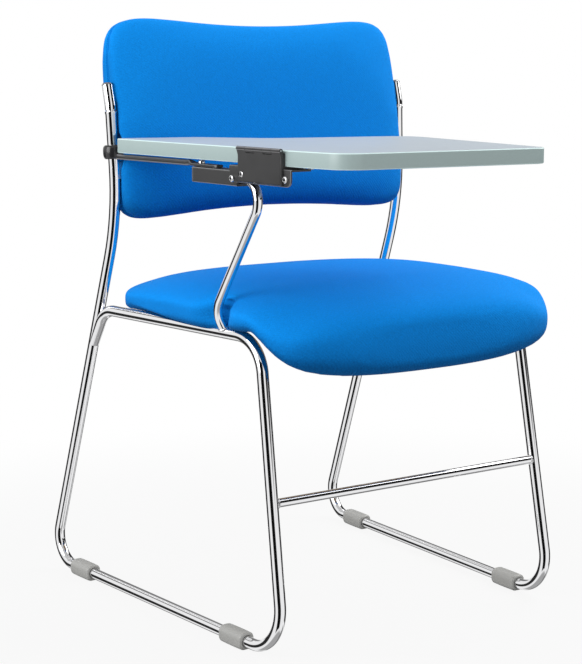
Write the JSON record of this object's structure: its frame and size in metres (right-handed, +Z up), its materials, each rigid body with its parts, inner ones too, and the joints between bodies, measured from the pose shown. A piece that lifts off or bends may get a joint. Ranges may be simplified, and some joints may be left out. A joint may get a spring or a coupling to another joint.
{
  "type": "tablet arm chair",
  "caption": "Stacking chair with bent chrome side tubes, padded fabric seat and back, and a writing tablet on the right arm that folds up and over to hang beside the chair.",
  "frame": {"origin": "on the floor, at the centre of the bounding box", "axes": "+Z up, the sitter faces -Y, the tablet is on the -X side, which is the sitter's right"},
  "size_m": [0.5363, 0.744, 0.8291],
  "materials": {
    "chrome": "bright chrome plate",
    "blue_fabric": "fine woven upholstery",
    "plywood": "bare plywood",
    "pale_laminate": "pale satin laminate on board",
    "grey_edging": "satin edge band",
    "black_coat": "satin powder coat",
    "zinc_steel": "zinc plate",
    "grey_plastic": "moulded nylon"
  },
  "bodies": {
    "frame": {"arm_angle": "black_coat", "arm_box": "black_coat", "arm_box_cap": "black_coat", "back_board": "plywood", "back_cushion": "blue_fabric", "back_rear_cover": "blue_fabric", "brace_bolt": "chrome", "brace_collar_front": "black_coat", "brace_collar_inner_screw": "zinc_steel", "brace_collar_outer_screw": "zinc_steel", "brace_collar_rear": "black_coat", "brace_rod": "black_coat", "front_arm_bolt": "chrome", "front_arm_nut": "zinc_steel", "front_left_seat_screw": "zinc_steel", "front_right_seat_screw": "zinc_steel", "front_seat_bar": "zinc_steel", "front_stretcher": "chrome", "hinge_pin": "zinc_steel", "hinge_plate": "black_coat", "hinge_plate_nut": "zinc_steel", "hinge_plate_screw": "chrome", "left_front_glide": "grey_plastic", "left_lower_back_screw": "zinc_steel", "left_lower_back_tab": "zinc_steel", "left_rear_glide": "grey_plastic", "left_side_frame": "chrome", "left_upper_back_screw": "zinc_steel", "left_upper_back_tab": "zinc_steel", "left_upright_cap": "chrome", "rear_arm_bolt": "chrome", "rear_arm_nut": "zinc_steel", "rear_left_seat_screw": "zinc_steel", "rear_right_seat_screw": "zinc_steel", "rear_seat_bar": "zinc_steel", "right_front_glide": "grey_plastic", "right_lower_back_screw": "zinc_steel", "right_lower_back_tab": "zinc_steel", "right_rear_glide": "grey_plastic", "right_side_frame": "chrome", "right_upper_back_screw": "zinc_steel", "right_upper_back_tab": "zinc_steel", "right_upright_cap": "chrome", "seat_board": "plywood", "seat_cushion": "blue_fabric", "tablet_post": "chrome"},
    "tablet": {"tablet_board": "pale_laminate", "tablet_edge_band": "grey_edging", "hinge_leaf": "black_coat", "front_leaf_screw_1": "zinc_steel", "front_leaf_screw_2": "zinc_steel", "rear_leaf_screw_1": "zinc_steel", "rear_leaf_screw_2": "zinc_steel"}
  },
  "joints": [
    {"name": "tablet_hinge", "type": "hinge", "parent": "frame", "child": "tablet", "pos_m": [-0.2608, -0.1925, 0.6627], "axis": [0, -1, 0], "range_deg": [0, 250]}
  ]
}
